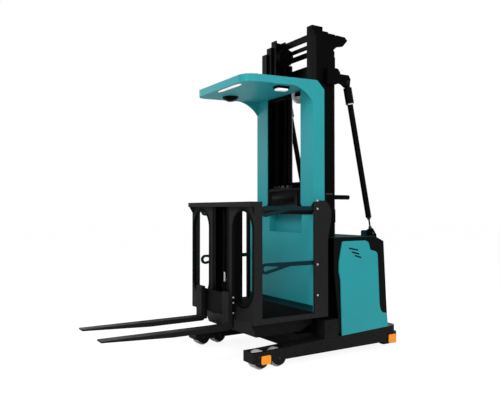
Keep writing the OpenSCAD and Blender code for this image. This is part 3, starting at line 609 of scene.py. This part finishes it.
def window_seal(name, y):
    nothing_picked()
    bpy.ops.mesh.primitive_circle_add(
        vertices=64, radius=WINDOW_RADIUS + SEAL_LIP, fill_type="NGON",
        location=(SEAL_FACE, y, WINDOW_LOW), rotation=(0, math.pi / 2, 0))
    seal = placed(name)
    bpy.ops.object.mode_set(mode="EDIT")
    bpy.ops.mesh.select_mode(type="VERT")
    bpy.ops.mesh.select_all(action="DESELECT")
    opened = bmesh.from_edit_mesh(seal.data)
    for vertex in opened.verts:
        vertex.select_set(vertex.co.z > WINDOW_LOW - ROUNDING)
    bmesh.update_edit_mesh(seal.data)
    bpy.ops.transform.translate(value=UP * WINDOW_RISE)
    pick(seal, lambda middle, normal: True)
    inset(SEAL_LIP + SEAL_INSIDE)
    bpy.ops.mesh.delete(type="FACE")
    nothing_picked()
    bpy.context.view_layer.objects.active = seal
    thick = seal.modifiers.new("depth", "SOLIDIFY")
    thick.thickness = SEAL_DEPTH
    thick.offset = -1
    bpy.ops.object.modifier_apply(modifier=thick.name)
    return closed(seal, 0.003)


for name, y in (("window_seal_left", WINDOW_Y), ("window_seal_right", -WINDOW_Y)):
    hand_in(window_seal(name, y), seal_rubber_and_vent_shade, "cab")

# %% [markdown]
# A cast load wheel is a hub with a thick polyurethane tyre. The faces of a drum are inset for the tyre's
# edge, pushed in for the web and pushed out again for the hub, so one drum becomes a wheel in a few steps.
# From the web inwards the faces get the hub's finish, again after each step, because a step makes new faces.

# %% Load wheels and drive wheel
LOAD_RADIUS, LOAD_WIDTH, LOAD_Y, FRONT_AXLE_X, BACK_AXLE_X = 0.075, 0.08, 0.502, 0.149, -0.023
DRIVE_RADIUS, DRIVE_WIDTH, DRIVE_X = 0.125, 0.082, -1.092
WHEELS = [
    ("load_wheel_1", "load_wheel_front_left", FRONT_AXLE_X, LOAD_Y),
    ("load_wheel_2", "load_wheel_back_left", BACK_AXLE_X, LOAD_Y),
    ("load_wheel_3", "load_wheel_front_right", FRONT_AXLE_X, -LOAD_Y),
    ("load_wheel_4", "load_wheel_back_right", BACK_AXLE_X, -LOAD_Y),
]


def wheel(name, x, y, radius, width, tyre, hub):
    drum = disc(name, (x, y, radius), LEFT, radius, width, 72)
    drum.data.materials.append(tyre)
    drum.data.materials.append(hub)
    stepped(drum, ends_of(LEFT), (radius * 0.17, -0.004), (radius * 0.08, -0.012))
    drum.active_material_index = 1
    for shape, amount in ((inset, radius * 0.26), (push, 0.011), (inset, radius * 0.10), (push, -0.003)):
        bpy.ops.object.material_slot_assign()
        shape(amount)
    bpy.ops.object.material_slot_assign()
    return closed(drum, 0.0025)


for node, body, x, y in WHEELS:
    load_wheel = wheel("tyred_" + node, x, y, LOAD_RADIUS, LOAD_WIDTH, wheel_grey, iron_paint)
    hand_in(load_wheel, wheel_grey, body)
    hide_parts(node)

drive_wheel = wheel("tyred_drive_wheel", DRIVE_X, 0, DRIVE_RADIUS, DRIVE_WIDTH, drive_tread, iron_paint)
hand_in(drive_wheel, drive_tread, "drive_wheel_body")
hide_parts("drive_wheel")

# %% [markdown]
# The marker lamps sit in black bezels on the legs. A bezel is a plate with a soft edge and a shallow step
# round the lens. At the front it reaches further forward, where two screws hold it.

# %% Lamp bezels
BEZEL_BACK, BEZEL_FACE, BEZEL_STEP = 0.572, 0.579, 0.002


def bezel(name, x0, x1, z0, z1):
    plate = block(name, (x0, BEZEL_BACK, z0), (x1, BEZEL_FACE, z1))
    stepped(plate, facing(LEFT), (0.006, BEZEL_STEP))
    return closed(plate, 0.0018)


front_bezel = bezel("front_bezels", 0.062, 0.206, 0.044, 0.124)
rear_bezel = bezel("rear_bezels", -1.374, -1.262, 0.038, 0.127)
bezel_screws = screws("bezel_screws", 0.186, BEZEL_FACE + BEZEL_STEP, (0.108, 0.060), 0.0055, 0.002)
for piece in (front_bezel, rear_bezel):
    hand_in(on_both_sides(piece), frame_black, "chassis")
hand_in(on_both_sides(bezel_screws), iron_paint, "chassis")

# %% [markdown]
# Rubber and plastic trim closes the cab. A kick strip runs along the foot of the rear wall, and a soft lip
# along the edge of the shelf. Each is a bar with one step in the face that looks into the cab. The kick
# strip's deep teal is painted shade, for the foot of the teal wall in shadow.

# %% Kick strip and shelf lip
kick_strip = block("kick_strip", (-0.421, -0.508, 0.404), (-0.413, 0.508, 0.462))
stepped(kick_strip, facing(FORWARD), (0.008, -0.002))
# Painted shade: the strip is deep teal where the foot of the teal wall lies in shadow.
hand_in(closed(kick_strip, 0.0015), deep_teal, "cab")

shelf_lip = block("shelf_lip", (-0.422, -0.509, 1.256), (-0.411, 0.509, 1.306))
stepped(shelf_lip, facing(FORWARD), (0.006, 0.002))
hand_in(closed(shelf_lip, 0.004, 3), console_plastic, "cab")

# %% [markdown]
# The operator stands on a ribbed mat, which leaves room for the short mast in front. The mat's ribs are one
# bevelled bar, repeated by the Array modifier.

# %% Floor mat
MAT_UNDER, MAT_TOP, RIB_TOP = 0.4035, 0.4065, 0.4095
MAT_BORDER, RIB_WIDTH, RIB_PITCH = 0.006, 0.007, 0.0165


def mat(name, x0, x1, y0, y1):
    sheet = closed(block(name, (x0, y0, MAT_UNDER), (x1, y1, MAT_TOP)), 0.001)
    rib = block(
        name + "_rib",
        (x0 + MAT_BORDER, y0 + MAT_BORDER, MAT_TOP - 0.001),
        (x0 + MAT_BORDER + RIB_WIDTH, y1 - MAT_BORDER, RIB_TOP))
    closed(rib, 0.0015)
    row = rib.modifiers.new("row", "ARRAY")
    row.use_relative_offset = False
    row.use_constant_offset = True
    row.constant_offset_displace = (RIB_PITCH, 0, 0)
    row.count = int((x1 - x0 - 2 * MAT_BORDER) / RIB_PITCH)
    bpy.ops.object.modifier_apply(modifier=row.name)
    return joined(name, [sheet, rib])


mats = [
    mat("floor_mat", -0.410, 0.072, -0.505, 0.505),
    mat("floor_mat_left", 0.076, 0.190, 0.160, 0.505),
    mat("floor_mat_right", 0.076, 0.190, -0.505, -0.160),
]
hand_in(joined("floor_mat", mats), floor_rubber, "cab")

# %% [markdown]
# Between the guard posts stands the console. Its face is one panel with a rim, a sunk field and a plain
# raised middle. Sealed hose glands and fittings stand on its top: a hexagon foot, a collar and a cap.

# %% Console panel and glands
GLAND_X, CONSOLE_TOP, FOOT_HEIGHT = -0.488, 1.4995, 0.012
GLANDS = ((-0.158, 0.014), (-0.1, 0.017), (0.1, 0.013))
FITTINGS = ((-0.032, 0.017), (0.045, 0.013))

panel = block("console_panel", (-0.469, -0.235, 1.318), (-0.462, 0.235, 1.482))
stepped(panel, facing(FORWARD), (0.010, -0.004), (0.050, 0.002))
hand_in(closed(panel, 0.0015), mast_paint, "cab")


def gland(name, y, radius):
    foot = disc(name, (GLAND_X, y, CONSOLE_TOP + FOOT_HEIGHT / 2), UP, radius, FOOT_HEIGHT, 6)
    stepped(foot, facing(UP), (radius * 0.22, 0.008), (radius * 0.12, 0.010))
    return closed(foot, 0.0012)


glands = joined("console_glands", [gland("gland", y, radius) for y, radius in GLANDS])
hand_in(glands, console_plastic, "cab")
fittings = joined("console_fittings", [gland("fitting", y, radius) for y, radius in FITTINGS])
hand_in(fittings, iron_paint, "cab")

# %% [markdown]
# The guard's lamps hang under a roof that falls 28 mm towards the front. They are modelled as if the roof
# were level, with the front edge at X 0, and one matrix then lays them against it.

# %% Lamps under the guard
ROOF_FRONT, ROOF_TOP, ROOF_THICK, ROOF_FALL, ROOF_LENGTH = 0.242, 2.430, 0.064, 0.028, 0.744
ROOF = Matrix.Translation((ROOF_FRONT, 0, ROOF_TOP)) @ Matrix.Rotation(
    math.atan(ROOF_FALL / ROOF_LENGTH), 4, "Y")
LAMP_LOW, LAMP_HIGH = Vector((-0.490, 0.322, -0.098)), Vector((-0.382, 0.380, -0.064))
FRAME_OUT, FRAME_WALL = 0.009, 0.008
STRIP_END, STRIP_TAPER = 0.06, (0.4, 1, 1)


def hang(piece):
    piece.data.transform(ROOF)
    return piece


lamp_frame = block(
    "guard_lamp_frame",
    LAMP_LOW + Vector((-FRAME_OUT, -FRAME_OUT, 0.012)),
    LAMP_HIGH + Vector((FRAME_OUT, FRAME_OUT, -0.0002)))
hand_in(hang(bored(lamp_frame, UP, FRAME_WALL, 0.002)), console_plastic, "cab")

strip = block("roof_light_strip", (-0.070, -0.02, -ROOF_THICK - 0.005), (-0.026, 0.24, -ROOF_THICK + 0.002))
pick(strip, ends_of(LEFT))
push(STRIP_END)
bpy.ops.transform.resize(value=STRIP_TAPER)
hand_in(hang(closed(strip, 0.002)), white_lens, "cab")

# %% [markdown]
# A nylon pulley hangs from a cross bar behind the guard. It is a drum whose rim is inset and pushed in to
# make the groove, and whose faces are dished round the hub. A cheek plate and a pin carry it on the bar.

# %% Hose pulley
PULLEY, PULLEY_RADIUS, PULLEY_WIDTH = Vector((-0.545, 0.150, 2.376)), 0.078, 0.026


def sheave(name, middle, radius, width):
    def round_the_axle(face_middle, normal):
        return abs(normal.y) > SAME_WAY and (face_middle - middle).xz.length < radius * 0.3

    drum = disc(name, middle, LEFT, radius, width, 56)
    stepped(drum, rim_of(LEFT), (width * 0.18, -radius * 0.10))
    stepped(drum, round_the_axle, (radius * 0.16, -width * 0.18), (radius * 0.46, width * 0.24))
    return closed(drum, width * 0.04)


hand_in(sheave("hose_pulley", PULLEY, PULLEY_RADIUS, PULLEY_WIDTH), pulley_nylon, "cab")

cross_bar = block("pulley_hanger", (-0.503, -0.24, 2.357), (-0.491, 0.24, 2.396))
stepped(cross_bar, facing(-UP), (0.003, 0.002))
closed(cross_bar, 0.002)
cheek = block("pulley_cheek", (PULLEY.x - 0.02, 0.128, PULLEY.z - 0.018), (-0.495, 0.134, 2.394))
pick(cheek, facing(-FORWARD))
bpy.ops.transform.resize(value=(1, 1, 0.6))
closed(cheek, 0.002)
pin = disc("pulley_pin", PULLEY - LEFT * 0.004, LEFT, 0.011, 0.040, 24)
stepped(pin, ends_of(LEFT), (0.004, -0.003))
closed(pin, 0.0012)
hand_in(joined("pulley_hanger", [cross_bar, cheek, pin]), mast_paint, "cab")

# %% [markdown]
# Two steel sheaves at the top of the inner mast lead the hoses on its right side. They are made as the pulley
# is, side by side on one axle, between two bracket plates that narrow towards the front.

# %% Mast sheaves and their brackets
SHEAVES, SHEAVE_RADIUS, SHEAVE_WIDTH, SHEAVE_STEP = Vector((-0.610, -0.168, 2.812)), 0.085, 0.027, 0.018
BRACKET_SIDES, BRACKET_THICK, BRACKET_NARROWS = (-0.204, -0.136), 0.004, (1, 1, 0.45)

pair = []
for y in (-SHEAVE_STEP, SHEAVE_STEP):
    pair.append(sheave("mast_sheaves", SHEAVES + LEFT * y, SHEAVE_RADIUS, SHEAVE_WIDTH))
hand_in(joined("mast_sheaves", pair), mast_paint, "inner_stage")

brackets = []
for y in BRACKET_SIDES:
    plate = block("sheave_brackets", (-0.672, y, 2.755), (-0.580, y + BRACKET_THICK, 2.870))
    pick(plate, facing(FORWARD))
    bpy.ops.transform.resize(value=BRACKET_NARROWS)
    brackets.append(closed(plate, 0.0012))
axle = disc("sheave_axle", SHEAVES, LEFT, 0.018, 0.074, 24)
stepped(axle, ends_of(LEFT), (0.005, 0.001))
brackets.append(closed(axle, 0.001))
hand_in(joined("sheave_brackets", brackets), mast_paint, "inner_stage")

# %% [markdown]
# A mast stay is a brace that is built like a gas spring: a thin rod in a thick tube. A bright ring closes its
# sleeve, a lock nut holds its lower end, and a pin goes through each eye. The points lie on the stay's own
# axis, so they are worked out from its two ends.

# %% Stay rings, nuts and pins
STAY_Y, PIN_OUT = 0.462, 0.486
STAY_EYE = Vector((-0.860, STAY_Y, 2.470))
STAY_END = Vector((-1.134, STAY_Y, 1.224))
STAY_FOOT = Vector((-1.156, STAY_Y, 1.108))
FOOT_PIN = Vector((-1.172, STAY_Y, 1.075))

down = (STAY_END - STAY_EYE).normalized()
ring = disc("stay_rings", STAY_EYE + down * 0.196, down, 0.0415, 0.008, 48)
stepped(ring, rim_of(down), (0.002, -0.001))
closed(ring, 0.001)
hand_in(on_both_sides(ring), bright_zinc, "chassis")

neck = (STAY_FOOT - STAY_END).normalized()
NUTS = (
    (STAY_END, 0.022, 0.014, 6),
    (STAY_END + neck * 0.016, 0.015, 0.012, 6),
    (STAY_FOOT - neck * 0.02, 0.016, 0.02, 24),
)
PINS = ((STAY_EYE, 0.017, 0.437), (FOOT_PIN, 0.012, 0.439))
nuts = []
for point, radius, depth, sides in NUTS:
    nut = disc("stay_nuts", point, neck, radius, depth, sides)
    stepped(nut, ends_of(neck), (0.004, 0.001))
    nuts.append(closed(nut, 0.001))
for point, radius, inside in PINS:
    middle = (point.x, (inside + PIN_OUT) / 2, point.z)
    eye_pin = disc("stay_pin", middle, LEFT, radius, PIN_OUT - inside, 28)
    stepped(eye_pin, ends_of(LEFT), (0.005, -0.002))
    nuts.append(closed(eye_pin, 0.0012))
hand_in(on_both_sides(joined("stay_nuts", nuts)), iron_paint, "chassis")

# %% [markdown]
# The hood is closed by a painted lid with a shallow sunk field, and a junction box stands beside the left
# stay foot. Each is a block with a step or two in its faces.

# %% Hood lid and junction box
lid = block("hood_lid", (-1.122, -0.552, 1.0475), (-0.628, 0.552, 1.0515))
stepped(lid, facing(UP), (0.035, -0.002))
hand_in(closed(lid, 0.0015), deep_teal, "chassis")

junction_box = block("junction_box", (-1.222, 0.374, 1.005), (-1.116, 0.430, 1.096))
stepped(junction_box, facing(UP), (0.004, 0.006))
stepped(junction_box, facing(LEFT), (0.008, -0.002))
hand_in(closed(junction_box, 0.004, 3), deep_teal, "chassis")

# %% [markdown]
# The side panels have three slanted vents each. Their slots are black, painted shade for the dark inside of
# the openings. The slots of a vent are drawn level, then turned to the slope that the photograph shows.

# %% Side vents
VENT_BACK, VENT_FACE, VENT_HALF = 0.5735, 0.5778, 0.006
VENTS = [
    ((-0.889, 0.932), (-0.781, 0.951)),
    ((-0.902, 0.895), (-0.817, 0.916)),
    ((-0.927, 0.862), (-0.853, 0.883)),
]
slots = []
for (x0, z0), (x1, z1) in VENTS:
    half = math.hypot(x1 - x0, z1 - z0) / 2
    slot = block("side_vents", (-half, VENT_BACK, -VENT_HALF), (half, VENT_FACE, VENT_HALF))
    stepped(slot, facing(LEFT), (0.0016, -0.0014))
    closed(slot, 0.0005)
    slope = Matrix.Rotation(-math.atan2(z1 - z0, x1 - x0), 4, "Y")
    slot.data.transform(Matrix.Translation(((x0 + x1) / 2, 0, (z0 + z1) / 2)) @ slope)
    slots.append(slot)
# The black of the slots is painted shade for the dark inside of the vents.
hand_in(on_both_sides(joined("side_vents", slots)), seal_rubber_and_vent_shade, "chassis")

# %% [markdown]
# The rear wall of the hood leans forward. It carries a row of hooded cooling slots and two lifting grips, as
# such power bodies have. They are modelled upright on the plane X 0 and laid on the wall by one matrix.

# %% Rear louvres and grips
WALL_FOOT, WALL_LEAN, WALL_RISE = (-1.274, 0, 0.204), 0.049, 0.798
LEAN = Matrix.Translation(WALL_FOOT) @ Matrix.Rotation(math.atan2(WALL_LEAN, WALL_RISE), 4, "Y")
LOUVRES, LOUVRE_FIRST, LOUVRE_PITCH, LOUVRE_TALL = 7, 0.46, 0.034, 0.018
LOUVRE_HALF, LOUVRE_OUT, SUNK_IN = 0.20, 0.013, 0.002
GRIP_Y, GRIP_HALF, GRIP_LOW, GRIP_HIGH, GRIP_OUT = 0.33, 0.06, 0.58, 0.62, 0.012

on_wall = []
for step in range(LOUVRES):
    z = LOUVRE_FIRST + LOUVRE_PITCH * step
    louvre = block("rear_louvres", (-LOUVRE_OUT, -LOUVRE_HALF, z), (SUNK_IN, LOUVRE_HALF, z + LOUVRE_TALL))
    pick(louvre, facing(-FORWARD))
    bpy.ops.transform.translate(value=(0.001, 0, -0.006))
    bpy.ops.transform.resize(value=(1, 0.97, 0.3))
    on_wall.append(closed(louvre, 0.001))
for y in (-GRIP_Y, GRIP_Y):
    grip = block("grip", (-GRIP_OUT, y - GRIP_HALF, GRIP_LOW), (SUNK_IN, y + GRIP_HALF, GRIP_HIGH))
    stepped(grip, facing(-FORWARD), (0.008, -0.009))
    on_wall.append(closed(grip, 0.003, 3))
louvres = joined("rear_louvres", on_wall)
louvres.data.transform(LEAN)
hand_in(louvres, hood_plastic, "chassis")

# %% [markdown]
# Round caps close the foot blocks, and a light strap clamps the arm on the mast's left side.

# %% Foot caps and arm strap
foot_cap = disc("foot_caps", (-0.572, 0.5755, 0.262), LEFT, 0.030, 0.004, 48)
stepped(foot_cap, facing(LEFT), (0.006, -0.0015), (0.010, 0.001))
closed(foot_cap, 0.0006)
hand_in(on_both_sides(foot_cap), frame_black, "chassis")

strap = block("arm_strap", (-0.702, 0.439, 1.434), (-0.628, 0.4445, 1.446))
stepped(strap, facing(LEFT), (0.004, 0.001))
hand_in(closed(strap, 0.0012), iron_paint, "chassis")

# %% [markdown]
# A small lift cylinder moves the forks on their own short mast. Its polished rod is fixed to the cab, a black
# sleeve rides on the fork carriage and slides along it, and a fixed outer tube takes the rod's upper end. So
# the three stay in line at every height of the forks. The sleeve has a bore, so that the tube passes through
# it without touching.

# %% Fork lift cylinder
CYLINDER_X, CYLINDER_Y = 0.165, -0.011
SLEEVE_RADIUS, SLEEVE_WALL = 0.0255, 0.0055


def upright(name, z0, z1, radius, sides):
    return disc(name, (CYLINDER_X, CYLINDER_Y, (z0 + z1) / 2), UP, radius, z1 - z0, sides)


def tube(name, z0, z1, radius):
    barrel = upright(name, z0, z1, radius, 32)
    stepped(barrel, ends_of(UP), (0.004, 0.003))
    return closed(barrel, 0.0015)


hand_in(tube("fork_lift_rod", 0.366, 1.30, 0.012), steel, "cab")
hand_in(tube("fork_lift_tube", 0.745, 1.312, 0.018), mast_paint, "cab")
sleeve = bored(upright("fork_lift_sleeve", 0.40, 0.655, SLEEVE_RADIUS, 48), UP, SLEEVE_WALL, 0.001)
arm = block("sleeve_arm", (0.187, -0.031, 0.50), (0.252, 0.009, 0.54))
pick(arm, facing(FORWARD))
bpy.ops.transform.resize(value=(1, 1.6, 1.3))
closed(arm, 0.002)
hand_in(joined("fork_lift_sleeve", [sleeve, arm]), mast_paint, "fork_lift")
print("modelled pieces:", len(made))

# %% [markdown]
# The studio's floor is pale. The camera sees it mixed with an even white, so that it runs into the background
# and still keeps the truck's shadow. Every other ray meets a plain light grey floor.

# %% Studio floor
FLOOR_SIZE, FLOOR_GREY, FLOOR_WHITE, WHITE_SHARE = 80, 0.82, 1.14, 0.8

nothing_picked()
bpy.ops.mesh.primitive_plane_add(size=FLOOR_SIZE)
floor = bpy.context.object
floor.name = "studio_floor"

floor_finish = bpy.data.materials.new("studio_floor_white")
floor_finish.use_nodes = True
floor_tree = floor_finish.node_tree
floor_tree.nodes.clear()
seen = Wire(floor_tree.nodes.new("ShaderNodeLightPath").outputs["Is Camera Ray"])
grey = seen.add("ShaderNodeBsdfDiffuse", {}, {"Color": (FLOOR_GREY, FLOOR_GREY, FLOOR_GREY, 1)})
white = seen.add("ShaderNodeEmission", {}, {"Color": (1, 1, 1, 1), "Strength": FLOOR_WHITE})
mixed = seen.add("ShaderNodeMixShader", {}, {0: seen * WHITE_SHARE, 1: grey, 2: white})
fill(floor_tree.nodes.new("ShaderNodeOutputMaterial"), {"Surface": mixed})
floor.data.materials.append(floor_finish)
print("floor:", floor.name)

# %% [markdown]
# The sky is white to the camera and behind clear plastic. It lights the truck and shows in its gloss at half
# that level, so the dark paints keep their own colour.

# %% Studio sky
SKY_LIGHT, SKY_SEEN = 0.5, 1.0

air = bpy.data.worlds.new("studio_air")
bpy.context.scene.world = air
air.use_nodes = True
ray = air.node_tree.nodes.new("ShaderNodeLightPath")
seen = (Wire(ray.outputs["Is Camera Ray"]) + Wire(ray.outputs["Is Transmission Ray"])).clamp()
fill(air.node_tree.nodes["Background"], {
    "Color": (1, 1, 1, 1),
    "Strength": seen * (SKY_SEEN - SKY_LIGHT) + SKY_LIGHT,
})
print("sky:", air.name)

# %% [markdown]
# Five large soft lamps do the rest: a key in front, one on each side, a low one that lights the face of the
# cab, and one behind, so that the back of the truck can be judged as well.

# %% Soft boxes
def soft_box(name, place, aim, size, power):
    """A large lamp that looks at a point of the truck."""
    turn = (Vector(aim) - Vector(place)).to_track_quat("-Z", "Y").to_euler()
    bpy.ops.object.light_add(type="AREA", location=place, rotation=turn)
    lamp = bpy.context.object
    lamp.name = name
    lamp.data.shape = "RECTANGLE"
    lamp.data.size, lamp.data.size_y = size
    lamp.data.energy = power


soft_box("key_lamp", (3.6, 2.2, 4.6), aim=(-0.2, 0, 1.2), size=(2.6, 2.6), power=150)
soft_box("side_lamp", (-1.6, 5.4, 3.2), aim=(-0.4, 0, 1.2), size=(3.0, 3.0), power=90)
soft_box("far_lamp", (1.5, -5.0, 3.4), aim=(-0.3, 0, 1.4), size=(3.0, 3.0), power=70)
soft_box("front_lamp", (3.4, 4.6, 1.5), aim=(-0.4, 0, 0.9), size=(2.4, 2.0), power=65)
soft_box("rear_lamp", (-5.2, -1.2, 2.4), aim=(-1.0, 0, 0.9), size=(2.6, 2.6), power=130)
bpy.context.scene.view_settings.view_transform = "Standard"
print("studio is lit")
